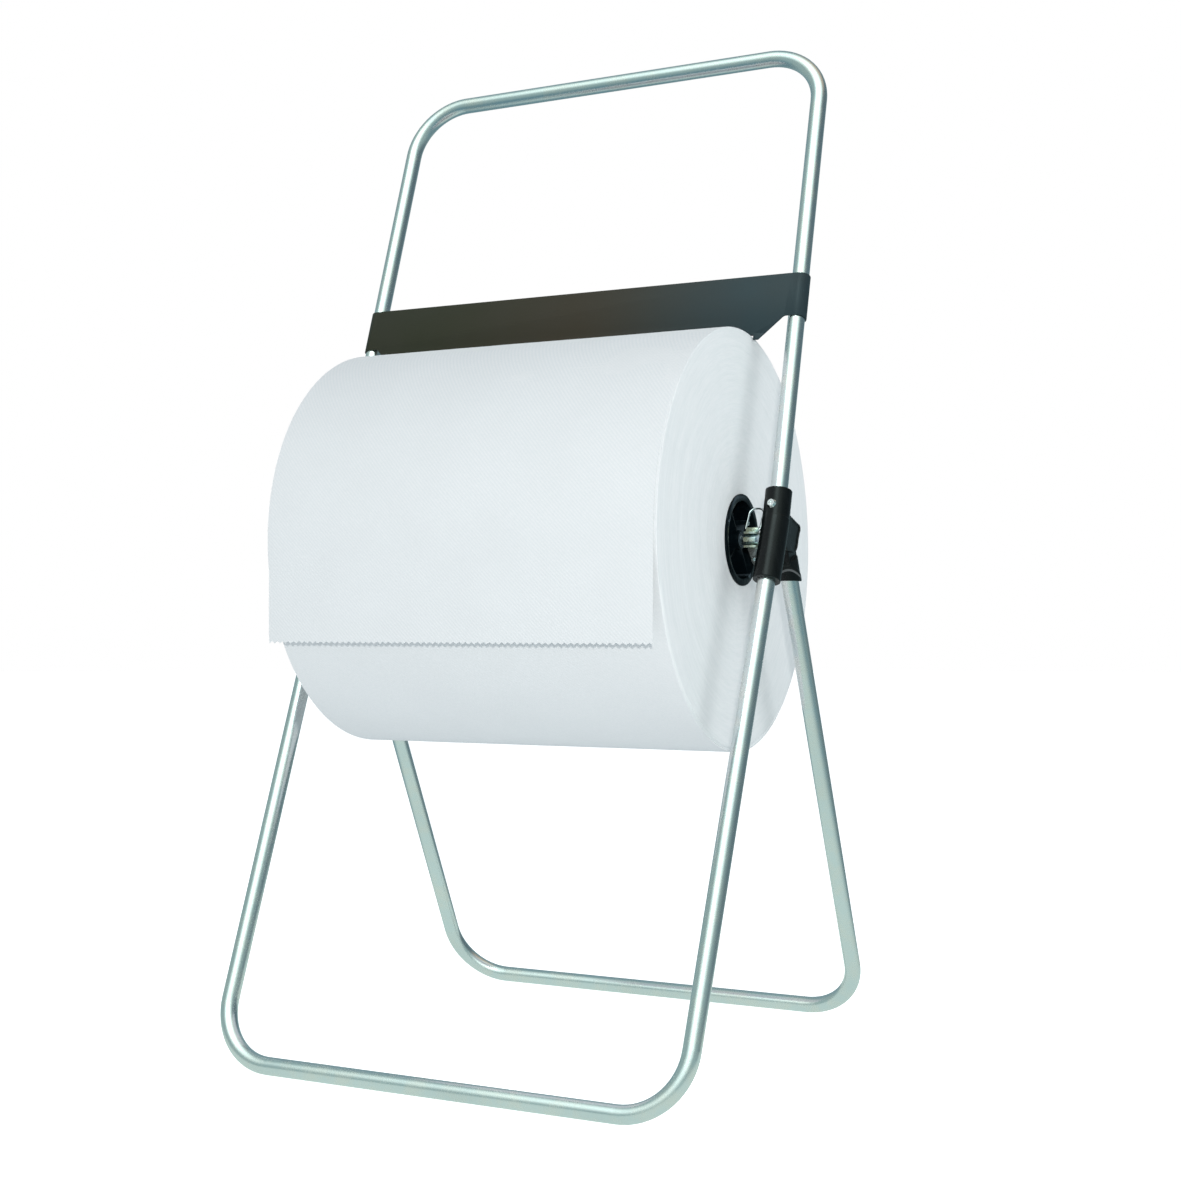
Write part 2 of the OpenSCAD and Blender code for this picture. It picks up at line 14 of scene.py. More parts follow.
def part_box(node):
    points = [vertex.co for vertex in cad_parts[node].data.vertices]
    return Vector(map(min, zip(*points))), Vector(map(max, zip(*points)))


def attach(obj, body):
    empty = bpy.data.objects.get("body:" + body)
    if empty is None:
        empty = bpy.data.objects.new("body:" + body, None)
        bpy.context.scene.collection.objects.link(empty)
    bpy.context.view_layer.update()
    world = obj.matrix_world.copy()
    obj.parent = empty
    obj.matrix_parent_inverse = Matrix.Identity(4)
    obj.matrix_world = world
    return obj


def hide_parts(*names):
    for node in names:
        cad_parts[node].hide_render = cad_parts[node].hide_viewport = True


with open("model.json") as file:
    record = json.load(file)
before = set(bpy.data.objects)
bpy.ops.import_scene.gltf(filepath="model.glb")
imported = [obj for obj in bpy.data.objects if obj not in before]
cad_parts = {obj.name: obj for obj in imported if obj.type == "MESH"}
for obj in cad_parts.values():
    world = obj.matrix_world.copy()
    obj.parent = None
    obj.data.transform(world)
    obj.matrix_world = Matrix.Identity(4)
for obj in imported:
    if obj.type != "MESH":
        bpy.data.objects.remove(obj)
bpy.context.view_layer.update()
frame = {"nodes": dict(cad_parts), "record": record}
NODES = frame["nodes"]
MM = 0.001
SIDES = {"left": -1, "right": 1}

ROLL_LOW, ROLL_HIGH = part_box("paper_roll")
AXIS = (ROLL_LOW + ROLL_HIGH) / 2
ROLL_R = (ROLL_HIGH.z - ROLL_LOW.z) / 2
ROLL_HALF = ROLL_HIGH.x
CORE_LOW, CORE_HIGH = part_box("core_tube")
CORE_R = (CORE_HIGH.z - CORE_LOW.z) / 2


# ---------- camera ----------

def aim(obj, stand, target):
    """Put a camera or lamp at a point, facing another."""
    obj.location = stand
    obj.rotation_euler = (Vector(target) - Vector(stand)).to_track_quat("-Z", "Y").to_euler()


def add(obj):
    """Link a new object into the scene."""
    bpy.context.scene.collection.objects.link(obj)
    return obj


EYE = (0.76497, -1.52062, 0.40248)
LOOKED_AT = (0.0, -0.007, 0.435285)

camera = add(bpy.data.objects.new("camera", bpy.data.cameras.new("camera")))
camera.data.lens = 53.3
camera.data.sensor_width = 36.0
camera.data.shift_x = 0.033
camera.data.shift_y = 0.0008
camera.data.clip_start = 0.05
camera.data.clip_end = 60.0
aim(camera, EYE, LOOKED_AT)
bpy.context.scene.camera = camera
bpy.context.scene.view_settings.view_transform = "Standard"


# ---------- node trees ----------

class Tree:
    """A short way to write a node tree. Each call but put returns an output socket."""

    def __init__(self, node_tree):
        self.tree = node_tree

    def put(self, kind, settings=None, **sockets):
        """Add a node. A socket is given by name, or by number as i0, i1 and so on."""
        made = self.tree.nodes.new("ShaderNode" + kind)
        for name, value in (settings or {}).items():
            setattr(made, name, value)
        for name, value in sockets.items():
            if name.startswith("i") and name[1:].isdigit():
                socket = made.inputs[int(name[1:])]
            else:
                socket = made.inputs[name.replace("_", " ")]
            if isinstance(value, bpy.types.NodeSocket):
                self.tree.links.new(value, socket)
            else:
                socket.default_value = value
        return made

    def math(self, operation, a, b=0.0):
        return self.put("Math", {"operation": operation}, i0=a, i1=b).outputs[0]

    def add(self, a, b):
        return self.math("ADD", a, b)

    def times(self, a, b):
        return self.math("MULTIPLY", a, b)

    def minus(self, a, b):
        return self.math("SUBTRACT", a, b)

    def vector(self, operation, a, b=(0.0, 0.0, 0.0)):
        made = self.put("VectorMath", {"operation": operation}, i0=a, i1=b)
        return made.outputs["Value" if operation == "DOT_PRODUCT" else "Vector"]

    def scaled(self, vector, factors):
        return self.vector("MULTIPLY", vector, factors)

    def split(self, vector):
        return self.put("SeparateXYZ", None, Vector=vector).outputs

    def joined(self, **parts):
        return self.put("CombineXYZ", None, **parts).outputs[0]

    def length(self, vector):
        return self.put("VectorMath", {"operation": "LENGTH"}, i0=vector).outputs["Value"]

    def turn(self, parts):
        """Angle round the spindle, from the parts of a vector that starts on its axis."""
        return self.math("ARCTAN2", parts["Z"], parts["Y"])

    def fit(self, value, low, high, to_low=0.0, to_high=1.0):
        """Map low..high smoothly onto to_low..to_high, and hold the ends."""
        made = self.put("MapRange", {"interpolation_type": "SMOOTHSTEP"}, i0=value, i1=low,
                        i2=high, i3=to_low, i4=to_high)
        return made.outputs[0]

    def mix(self, factor, a, b):
        made = self.put("Mix", {"data_type": "RGBA"})
        for socket, value in ((made.inputs[0], factor), (made.inputs[6], a), (made.inputs[7], b)):
            if isinstance(value, bpy.types.NodeSocket):
                self.tree.links.new(value, socket)
            else:
                socket.default_value = value if isinstance(value, float) else (*value, 1.0)
        return made.outputs[2]

    def noise(self, vector, scale, detail=2.0, rough=0.5, distortion=0.0):
        made = self.put("TexNoise", None, Vector=vector, Scale=scale, Detail=detail,
                        Roughness=rough, Distortion=distortion)
        return made.outputs["Fac"]

    def bump(self, height, distance, strength):
        made = self.put("Bump", None, Height=height, Distance=distance, Strength=strength)
        return made.outputs["Normal"]


def material(name, colour, roughness, metallic=0.0, **sockets):
    """A new material, its tree, and its shader with the values that are the same all over."""
    made = bpy.data.materials.new(name)
    made.use_nodes = True
    tree = Tree(made.node_tree)
    shader = made.node_tree.nodes["Principled BSDF"]
    shader.inputs["Base Color"].default_value = (*colour, 1.0)
    shader.inputs["Roughness"].default_value = roughness
    shader.inputs["Metallic"].default_value = metallic
    for key, value in sockets.items():
        shader.inputs[key.replace("_", " ")].default_value = value
    return made, tree, shader


def link(tree, shader, **outputs):
    """Feed a shader's sockets, given by name."""
    for name, output in outputs.items():
        tree.tree.links.new(output, shader.inputs[name.replace("_", " ")])


def place(tree):
    """Where a shaded point is, in the piece's own axes, which are the frame's at rest."""
    return tree.put("TexCoord").outputs["Object"]


def place_from_axis(tree):
    """Where a shaded point is, from the middle of the spindle."""
    return tree.vector("SUBTRACT", place(tree), tuple(AXIS))


JAW_TAIL_DOWN = 9 * MM      # below the spindle, where a jaw's plating gives way to bare sheet
JAW_TAIL_FADE = 2.5 * MM


def metal(name, colour, tint, roughness, spread, grain, grain_depth, patch_scale,
          tail_colour=None, metallic=1.0):
    """Plated metal: patchy tint, uneven gloss and fine grain along the given stretch.

    A tail colour is for the low end of a jaw, which is bare sheet.
    """
    made, tree, shader = material(name, colour, roughness, metallic)
    where = place(tree)
    patches = tree.noise(where, patch_scale, 4.0, 0.6)
    cloud = tree.noise(where, patch_scale * 0.13, 2.0, 0.5)
    base = tree.mix(tree.fit(patches, 0.35, 0.7), colour, tint)
    base = tree.mix(tree.fit(cloud, 0.3, 0.75, 0.0, 0.35), base,
                    tuple(0.8 * c for c in colour))
    if tail_colour is not None:
        low = AXIS.z - JAW_TAIL_DOWN
        tail = tree.fit(tree.split(where)["Z"], low, low + JAW_TAIL_FADE, 1.0, 0.0)
        base = tree.mix(tail, base, tail_colour)
    fine = tree.noise(tree.scaled(where, grain), 1000.0, 3.0, 0.65)
    rough = tree.add(tree.fit(patches, 0.3, 0.75, roughness - spread, roughness + spread),
                     tree.fit(fine, 0.3, 0.7, -0.03, 0.03))
    link(tree, shader, Base_Color=base, Roughness=rough,
         Normal=tree.bump(fine, grain_depth, 0.6))
    return made


def moulded_plastic(name, colour, edge_highlight, roughness, pitting, depth, **sockets):
    """Moulded plastic: fine pitting, faint flow marks, rubbed patches, and paler edges that are a
    painted highlight along the rims.

    It returns the base colour as well, for a material that paints more on it.
    """
    made, tree, shader = material(name, colour, roughness, 0.0, **sockets)
    where = place(tree)
    flow = tree.noise(tree.scaled(where, (1.0, 1.0, 0.25)), 90.0, 3.0, 0.6, 0.6)
    pits = tree.noise(where, pitting, 2.0, 0.6)
    rubbed = tree.fit(tree.noise(where, 28.0, 3.0, 0.65), 0.45, 0.8)
    lighter = tuple(1.9 * c + 0.001 for c in colour)
    base = tree.mix(tree.fit(flow, 0.35, 0.8, 0.0, 0.5), colour, lighter)
    # Convex edges are painted paler: a painted highlight along the rims.
    edge = tree.put("NewGeometry").outputs["Pointiness"]
    base = tree.mix(tree.fit(edge, 0.53, 0.66, 0.0, 0.8), base, edge_highlight)
    rough = tree.add(tree.fit(flow, 0.3, 0.7, roughness - 0.03, roughness + 0.04),
                     tree.times(rubbed, -0.05))
    link(tree, shader, Base_Color=base, Roughness=rough,
         Normal=tree.bump(pits, depth, 0.55))
    return made, tree, shader, base


SATIN_BLACK = (0.0030, 0.0042, 0.0045)
# The colour of the painted highlight along the satin plastic's edges
SATIN_EDGE_HIGHLIGHT = (0.05, 0.058, 0.058)
SATIN = {"roughness": 0.27, "pitting": 2600.0, "depth": 0.00003, "Specular_IOR_Level": 0.19}
BARE_SHEET = (0.20, 0.22, 0.22)
EVEN_GRAIN = (1.0, 1.0, 1.0)

MAT = {}
MAT["bright_tube"] = metal("bright_zinc_tube", (0.76, 0.81, 0.82), (0.83, 0.82, 0.79), 0.26, 0.035,
                           (1.0, 0.25, 0.25), 0.00002, 60.0)
MAT["zinc_fastener"] = metal("zinc_fastener", (0.84, 0.88, 0.88), (0.88, 0.88, 0.84), 0.24, 0.05,
                             EVEN_GRAIN, 0.00001, 500.0)
MAT["grey_sheet"] = metal("grey_steel_sheet", BARE_SHEET, (0.26, 0.27, 0.26), 0.44, 0.05,
                          (1.0, 0.3, 1.0), 0.000008, 120.0, metallic=0.55)
MAT["yellow_zinc"] = metal("yellow_zinc_sheet", (0.74, 0.84, 0.62), (0.62, 0.80, 0.84), 0.28, 0.04,
                           (0.5, 1.0, 1.0), 0.000004, 110.0, BARE_SHEET, 0.6)
MAT["zinc_rod"] = metal("drawn_zinc_rod", (0.50, 0.60, 0.68), (0.60, 0.66, 0.69), 0.28, 0.05,
                        (0.12, 1.0, 1.0), 0.000006, 120.0)
MAT["spring_wire"] = metal("spring_wire", (0.82, 0.83, 0.83), (0.72, 0.75, 0.78), 0.17, 0.04,
                           (1.0, 1.0, 0.4), 0.00001, 500.0)
MAT["black_plastic"] = moulded_plastic("satin_black_plastic", SATIN_BLACK, SATIN_EDGE_HIGHLIGHT, **SATIN)[0]
# The plugs' faint blue cast is painted reflection, and their second colour is the painted
# highlight along rims and ribs.
MAT["gloss_black"] = moulded_plastic("gloss_black_plastic", (0.0016, 0.0040, 0.0056),
                                     (0.075, 0.105, 0.125), 0.26, 900.0, 0.000015,
                                     Specular_IOR_Level=0.06)[0]


# The arched band on a rear socket, a painted highlight of a lit ridge: where its crown is, how
# fast it falls to the sides, and its lower and upper edges, each as the start and end of its fade
BAND_X, BAND_Y, BAND_Z = 0.2358, 0.0097, 0.4528
BAND_FALL = 52.0
BAND_LOWER = (-1.3 * MM, -0.9 * MM)
BAND_UPPER = (0.7 * MM, 1.1 * MM)
RIDGE_HIGHLIGHT_COLOUR = (0.105, 0.115, 0.118)


def socket_plastic():
    """The sleeve's plastic, with a painted highlight as the pale arched band round the mouth of
    the rear socket.
    """
    made, tree, shader, base = moulded_plastic("satin_black_socket", SATIN_BLACK, SATIN_EDGE_HIGHLIGHT,
                                               **SATIN)
    parts = tree.split(place(tree))
    out = tree.minus(tree.math("ABSOLUTE", parts["X"]), BAND_X)
    back = tree.minus(parts["Y"], BAND_Y)
    across = tree.add(tree.times(out, 0.95), tree.times(back, 0.3))
    arch = tree.times(tree.times(across, across), BAND_FALL)
    rise = tree.add(tree.minus(parts["Z"], BAND_Z), arch)
    # The band is a painted highlight, paler where a lit ridge would catch the light.
    band = tree.times(tree.fit(rise, *BAND_LOWER), tree.fit(rise, *BAND_UPPER, 1.0, 0.0))
    link(tree, shader, Base_Color=tree.mix(tree.times(band, 0.85), base, RIDGE_HIGHLIGHT_COLOUR))
    return made


SOCKET_PLASTIC = socket_plastic()


def coated_plate():
    """Powder-coated sheet: orange peel, slight cloudiness, a few fine rub lines, and a painted
    reflection as a cast that goes from olive on the left through brown to slate on the right."""
    colour = (0.024, 0.026, 0.013)
    made, tree, shader = material("powder_coated_plate", colour, 0.42, 0.0,
                                  Specular_IOR_Level=0.22)
    where = place(tree)
    peel = tree.noise(where, 1500.0, 2.0, 0.5)
    cloud = tree.noise(where, 9.0, 3.0, 0.6)
    rub = tree.noise(tree.scaled(where, (0.05, 1.0, 1.0)), 520.0, 2.0, 0.7)
    across = tree.split(where)["X"]
    # The cast across the plate is painted reflection of the room's tones, laid into the base
    # colour.
    reflection_cast = tree.mix(tree.fit(across, -0.2, 0.02), colour, (0.031, 0.024, 0.014))
    reflection_cast = tree.mix(tree.fit(across, 0.0, 0.2), reflection_cast, (0.017, 0.033, 0.040))
    base = tree.mix(tree.fit(cloud, 0.3, 0.75, 0.0, 0.35), reflection_cast, (0.036, 0.033, 0.028))
    base = tree.mix(tree.fit(rub, 0.66, 0.82, 0.0, 0.4), base, (0.045, 0.045, 0.042))
    link(tree, shader, Base_Color=base,
         Roughness=tree.fit(cloud, 0.25, 0.75, 0.37, 0.46),
         Normal=tree.bump(peel, 0.00005, 0.5))
    return made


MAT["coated_plate"] = coated_plate()


def core_board():
    """Wound cardboard: grey-brown fibres with the seams of the spiral strip."""
    made, tree, shader = material("wound_cardboard", (0.42, 0.32, 0.21), 0.85)
    where = place(tree)
    parts = tree.split(place_from_axis(tree))
    spiral = tree.add(tree.times(parts["X"], 60.0), tree.turn(parts))
    seam = tree.fit(tree.math("COSINE", spiral), 0.985, 1.0)
    fibre = tree.noise(tree.scaled(where, (1.0, 0.3, 1.0)), 900.0, 4.0, 0.7)
    base = tree.mix(fibre, (0.33, 0.25, 0.17), (0.50, 0.39, 0.27))
    base = tree.mix(tree.times(seam, 0.7), base, (0.16, 0.11, 0.07))
    height = tree.minus(fibre, seam)
    link(tree, shader, Base_Color=base, Normal=tree.bump(height, 0.0001, 0.5))
    return made


MAT["core_board"] = core_board()

EMBOSS_PITCH = 0.00362
CROSS_TWILL = 1.7           # how much finer, and how much fainter, the crossing twill is
CROSS_DEPTH = 0.3
WOUND_GROOVE_SHADE = 0.09         # painted shade in the emboss grooves: how far it darkens the paper, wound and hanging
HANGING_GROOVE_SHADE = 0.28
PAPER = (0.805, 0.83, 0.84)


def emboss(tree, across, along):
    """Height of a fine diagonal twill emboss, from two lengths in metres."""
    step = 2 * math.pi / EMBOSS_PITCH
    one = tree.math("SINE", tree.times(tree.add(across, along), step))
    two = tree.math("SINE", tree.times(tree.minus(across, along), CROSS_TWILL * step))
    return tree.add(one, tree.times(two, CROSS_DEPTH))


def creped_paper(name, wound):
    """Two-ply wiping paper: soft fibres, crepe and mottling under a fine diagonal emboss."""
    made, tree, shader = material(name, PAPER, 0.92, 0.0, Specular_IOR_Level=0.25,
                                  Sheen_Weight=0.15, Sheen_Roughness=0.5)
    where = place_from_axis(tree)
    parts = tree.split(where)
    along = tree.times(tree.turn(parts), -ROLL_R) if wound else parts["Z"]
    quilt = emboss(tree, parts["X"], along)
    fibre = tree.noise(where, 1300.0, 3.0, 0.7)
    crepe = tree.noise(tree.scaled(where, (1.0, 0.22, 0.22)), 420.0, 3.0, 0.6)
    cloud = tree.noise(where, 16.0, 3.0, 0.55)
    base = tree.mix(tree.fit(cloud, 0.3, 0.7), tuple(0.975 * c for c in PAPER), PAPER)
    groove_shade = WOUND_GROOVE_SHADE if wound else HANGING_GROOVE_SHADE
    mottle = tree.noise(where, 480.0, 3.0, 0.6)
    # Painted shade darkens the emboss grooves.
    base = tree.mix(tree.fit(quilt, -1.2, 1.0, groove_shade, 0.0), base, (0.62, 0.69, 0.72))
    base = tree.mix(tree.fit(fibre, 0.3, 0.7, 0.16, 0.0), base, (0.62, 0.68, 0.70))
    base = tree.mix(tree.fit(mottle, 0.3, 0.7, 0.0, 0.24), base, (0.66, 0.72, 0.73))
    height = tree.add(tree.times(quilt, 0.35), tree.add(fibre, tree.times(crepe, 0.8)))
    link(tree, shader, Base_Color=base, Roughness=tree.fit(fibre, 0.2, 0.8, 0.88, 0.97),
         Normal=tree.bump(height, 0.00011, 0.6))
    return made


def wound_end():
    """The sawn end of a wound roll: rings of layer edges, faint saw streaks, and crease lines with
    painted shade along them.
    """
    made, tree, shader = material("wound_paper_end", (0.70, 0.745, 0.76), 0.95, 0.0,
                                  Specular_IOR_Level=0.2)
    where = place_from_axis(tree)
    parts = tree.split(where)
    radius = tree.length(tree.joined(Y=parts["Y"], Z=parts["Z"]))
    turn = tree.turn(parts)
    polar = tree.joined(X=radius, Y=tree.times(turn, 0.012), Z=tree.times(parts["X"], 0.2))
    fine = tree.noise(polar, 1500.0, 3.0, 0.7)
    rings = tree.noise(polar, 330.0, 3.0, 0.6)
    bands = tree.noise(polar, 38.0, 2.0, 0.5)
    spoke = tree.joined(X=tree.times(radius, 0.1), Y=turn)
    crease_relief_and_shade = tree.noise(spoke, 9.0, 4.0, 0.65)
    saw = tree.noise(tree.scaled(where, (1.0, 1.0, 0.08)), 260.0, 2.0, 0.6)
    base = tree.mix(tree.fit(rings, 0.3, 0.7), (0.735, 0.78, 0.785), (0.775, 0.81, 0.815))
    base = tree.mix(tree.fit(fine, 0.25, 0.6, 0.22, 0.0), base, (0.60, 0.65, 0.67))
    base = tree.mix(tree.fit(bands, 0.45, 0.75, 0.0, 0.2), base, (0.76, 0.80, 0.81))
    # Painted shade along the crease lines.
    base = tree.mix(tree.fit(crease_relief_and_shade, 0.55, 0.8, 0.0, 0.14), base, (0.60, 0.645, 0.66))
    height = tree.add(tree.add(fine, tree.times(rings, 1.4)),
                      tree.add(tree.times(crease_relief_and_shade, 0.8), tree.times(saw, 0.5)))
    link(tree, shader, Base_Color=base, Normal=tree.bump(height, 0.00014, 0.45))
    return made


PAPER_SIDE = creped_paper("creped_paper_wound", True)
PAPER_SHEET = creped_paper("creped_paper_hanging", False)
PAPER_END = wound_end()


# ---------- light and floor ----------

def heading(azimuth, elevation):
    """Unit vector towards a compass point: azimuth 0 is the front, 90 the right."""
    a, e = math.radians(azimuth), math.radians(elevation)
    return (math.sin(a) * math.cos(e), -math.cos(a) * math.cos(e), math.sin(e))


# The patches that the bright metal reflects, over a base that darkens towards the floor, later
# ones over earlier ones: azimuth, elevation, the angles from there at which the patch starts
# and is full, and its colour
ROOM_LOW = (0.15, 0.27, 0.31)
ROOM_LEVEL = (0.34, 0.47, 0.46)
ROOM_PATCHES = [
    (140, 32, 66, 24, (0.12, 0.18, 0.205)),
    (-150, 25, 60, 24, (0.24, 0.36, 0.39)),
    (112, 66, 32, 12, (0.56, 0.49, 0.39)),
    (12, 52, 52, 20, (1.27, 1.50, 1.42)),
    (8, 50, 20, 7, (4.0, 4.9, 4.8)),
]
FILL_FROM_BELOW = (0.765, 0.815, 0.85)
FILL_FROM_ABOVE = (0.395, 0.43, 0.46)


def studio():
    """A white room to look at, a soft fill for matt surfaces, and softer tones for what the
    bright metal reflects."""
    world = bpy.data.worlds.new("studio")
    bpy.context.scene.world = world
    world.use_nodes = True
    tree = Tree(world.node_tree)
    direction = tree.put("TexCoord").outputs["Generated"]
    up = tree.split(direction)["Z"]
    room = tree.mix(tree.fit(up, -0.6, 0.0), ROOM_LOW, ROOM_LEVEL)
    for azimuth, elevation, outer, inner, colour in ROOM_PATCHES:
        cosine = tree.vector("DOT_PRODUCT", direction, heading(azimuth, elevation))
        patch = tree.fit(cosine, math.cos(math.radians(outer)), math.cos(math.radians(inner)))
        room = tree.mix(patch, room, colour)
    path = tree.put("LightPath")
    soft = tree.mix(tree.fit(up, -0.5, 0.5), FILL_FROM_BELOW, FILL_FROM_ABOVE)
    seen = tree.mix(path.outputs["Is Glossy Ray"], soft, room)
    seen = tree.mix(path.outputs["Is Camera Ray"], seen, (1.0, 1.0, 1.0))
    background = world.node_tree.nodes["Background"]
    world.node_tree.links.new(seen, background.inputs["Color"])


studio()


LAMPS_AIM_AT = Vector((0.0, 0.0, 0.45))
LAMPS_AWAY = 2.6
WHITE = (1.0, 1.0, 1.0)


def softbox(name, azimuth, elevation, size, power, colour=WHITE):
    """A round lamp that the metal doesn't mirror."""
    lamp = bpy.data.lights.new(name, "AREA")
    lamp.shape = "DISK"
    lamp.size = size
    lamp.energy = power
    lamp.color = colour
    obj = add(bpy.data.objects.new(name, lamp))
    stand = LAMPS_AIM_AT + LAMPS_AWAY * Vector(heading(azimuth, elevation))
    aim(obj, stand, LAMPS_AIM_AT)
    obj.visible_glossy = False


softbox("key_light", -12, 66, 1.2, 11.0)
softbox("side_light", 92, 24, 2.2, 18.0)
softbox("front_flash", 26.7, 4.3, 0.12, 28.0, (1.0, 0.96, 0.92))


def disc(name, radius, segments, made):
    """A flat round stage piece on the floor, which the light on matt surfaces passes by."""
    mesh = bpy.data.meshes.new(name)
    edit = bmesh.new()
    bmesh.ops.create_circle(edit, cap_ends=True, radius=radius, segments=segments)
    edit.to_mesh(mesh)
    edit.free()
    mesh.materials.append(made)
    obj = add(bpy.data.objects.new(name, mesh))
    obj.visible_diffuse = False
    return obj


def floor():
    """The pale floor that the camera sees."""
    made, tree, shader = material("pale_floor", (0.86, 0.87, 0.87), 0.8, 0.0,
                                  Emission_Strength=0.85)
    mottle = tree.noise(place(tree), 3.0, 2.0, 0.5)
    link(tree, shader, Base_Color=tree.mix(mottle, (0.85, 0.86, 0.86), (0.88, 0.885, 0.885)))
    shader.inputs["Emission Color"].default_value = (0.93, 0.93, 0.92, 1.0)
    disc("floor", 14.0, 96, made).visible_glossy = False


floor()


def floor_glow():
    """The lit patch of floor round the feet, seen only in the bright metal."""
    made = bpy.data.materials.new("floor_glow")
    made.use_nodes = True
    tree = Tree(made.node_tree)
    nodes = made.node_tree.nodes
    nodes.remove(nodes["Principled BSDF"])
    glow = tree.put("Emission", None, Color=(0.60, 0.75, 0.71, 1.0))
    clear = tree.put("BsdfTransparent")
    both = tree.put("MixShader", None, i0=tree.fit(tree.length(place(tree)), 0.35, 0.95),
                    i1=glow.outputs[0], i2=clear.outputs[0])
    made.node_tree.links.new(both.outputs[0], nodes["Material Output"].inputs["Surface"])
    obj = disc("floor_glow", 1.0, 64, made)
    obj.location.z = 0.1 * MM
    obj.visible_camera = False
    obj.visible_transmission = False
    obj.visible_shadow = False


floor_glow()


# ---------- mesh code ----------

def new_piece(name, mesh, body, replaced, made):
    """A piece that rides on a body and stands for a CAD node."""
    obj = add(bpy.data.objects.new(name, mesh))
    mesh.materials.clear()
    mesh.materials.append(made)
    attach(obj, body)
    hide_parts(replaced)
    return obj


def smooth_shaded(mesh, angle=40.0):
    """Shade a mesh smooth, except at edges sharper than the angle in degrees."""
    mesh.polygons.foreach_set("use_smooth", [True] * len(mesh.polygons))
    mesh.set_sharp_from_angle(angle=math.radians(angle))
    mesh.update()
    return mesh


def welded(node):
    """A clean edit mesh of a CAD node: shared corners, and flat faces whole again."""
    edit = bmesh.new()
    edit.from_mesh(NODES[node].data)
    bmesh.ops.remove_doubles(edit, verts=edit.verts, dist=0.002 * MM)
    bmesh.ops.dissolve_limit(edit, angle_limit=math.radians(0.6), verts=edit.verts,
                             edges=edit.edges)
    return edit


def outward(name, verts, faces, angle):
    """A new closed mesh with its faces turned outwards, shaded smooth."""
    mesh = bpy.data.meshes.new(name)
    mesh.from_pydata(verts, [], faces)
    edit = bmesh.new()
    edit.from_mesh(mesh)
    bmesh.ops.recalc_face_normals(edit, faces=edit.faces)
    edit.to_mesh(mesh)
    edit.free()
    return smooth_shaded(mesh, angle)


def plain_mesh(name, edit):
    """A new mesh with only the corners and faces of an edit mesh."""
    edit.verts.ensure_lookup_table()
    edit.verts.index_update()
    mesh = bpy.data.meshes.new(name)
    mesh.from_pydata([v.co[:] for v in edit.verts], [],
                     [[v.index for v in f.verts] for f in edit.faces])
    edit.free()
    return mesh


def evaluated(obj, name):
    """The object's mesh with its modifiers applied, and the object itself removed."""
    graph = bpy.context.evaluated_depsgraph_get()
    mesh = bpy.data.meshes.new_from_object(obj.evaluated_get(graph))
    mesh.name = name
    bpy.data.objects.remove(obj)
    return mesh


SHARP_EDGE = math.radians(28.0)


def eased(node, name, body, slot, width, edit=None):
    """A copy of a CAD node, or an edit mesh in its place, with its sharp edges rounded off."""
    edit = edit or welded(node)
    sharp = [e for e in edit.edges
             if len(e.link_faces) == 2 and e.calc_face_angle(0.0) > SHARP_EDGE]
    bmesh.ops.bevel(edit, geom=sharp, offset=width, offset_type="OFFSET", segments=2,
                    profile=0.5, affect="EDGES", clamp_overlap=True)
    mesh = smooth_shaded(plain_mesh(name, edit))
    return new_piece(name, mesh, body, node, MAT[slot])


CAST_VOXEL = 0.34 * MM
CAST_KEEP = 0.3             # share of the faces that is kept


def cast(node, name, body, rounds, made):
    """A copy of a CAD node as a moulding, with every edge and corner softened."""
    work = add(bpy.data.objects.new("work", plain_mesh("work", welded(node))))
    remesh = work.modifiers.new("remesh", "REMESH")
    remesh.mode = "VOXEL"
    remesh.voxel_size = CAST_VOXEL
    soften = work.modifiers.new("soften", "SMOOTH")
    soften.factor = 0.5
    soften.iterations = rounds
    thin = work.modifiers.new("thin", "DECIMATE")
    thin.ratio = CAST_KEEP
    mesh = smooth_shaded(evaluated(work, name), 60.0)
    new_piece(name, mesh, body, node, made)


for subpart in frame["record"]["subparts"]:
    if subpart["material_slot"] in MAT:
        data = NODES[subpart["node"]].data
        data.materials.clear()
        data.materials.append(MAT[subpart["material_slot"]])

for side in SIDES:
    cast(side + "_front_sleeve", side + "_sleeve_moulding", "front_frame", 3,
         MAT["black_plastic"])
    cast(side + "_rear_socket", side + "_socket_moulding", "rear_leg", 2, SOCKET_PLASTIC)


# ---------- paper ----------

def wobble(*place_in_noise):
    """Smooth noise from about -1 to 1, the same on every run."""
    return noise.noise(Vector(place_in_noise))


def ring_offset(radius, turn, side):
    """How far the layers at this radius stand back from the roll's end."""
    telescoped = wobble(radius * 95.0, 3.0 * side, 0.5) * 0.35
    layer = wobble(radius * 620.0, 7.0 * side, 0.2) * 0.16
    swell = wobble(math.cos(turn) * 1.4, math.sin(turn) * 1.4, radius * 14.0 + side) * 0.35
    crease = wobble(math.cos(turn) * 7.0, math.sin(turn) * 7.0, radius * 5.0 + 3 * side) * 0.14
    return MM * min(0.0, telescoped + layer + swell + crease - 0.45)


def side_offset(x, turn):
    """How far the roll's side stands in from its full radius."""
    low = wobble(x * 5.0, math.cos(turn) * 1.7, math.sin(turn) * 1.7) * 0.35
    fine = wobble(x * 26.0, math.cos(turn) * 6.0, math.sin(turn) * 6.0) * 0.12
    return MM * min(0.0, low + fine - 0.3)


ROLL_RIM = 0.9 * MM         # radius of the roll's rounded rim
BORE_CALM = 6 * MM          # near the core the layers are still flush
LOOSE_LAYER = 2.6 * MM      # how far inside the roll's side a loose layer leaves a gap
LOOSE_WIDTH = 0.9 * MM
LOOSE_DEPTH = 2.2 * MM
LOOSE_TURN = math.radians(112)


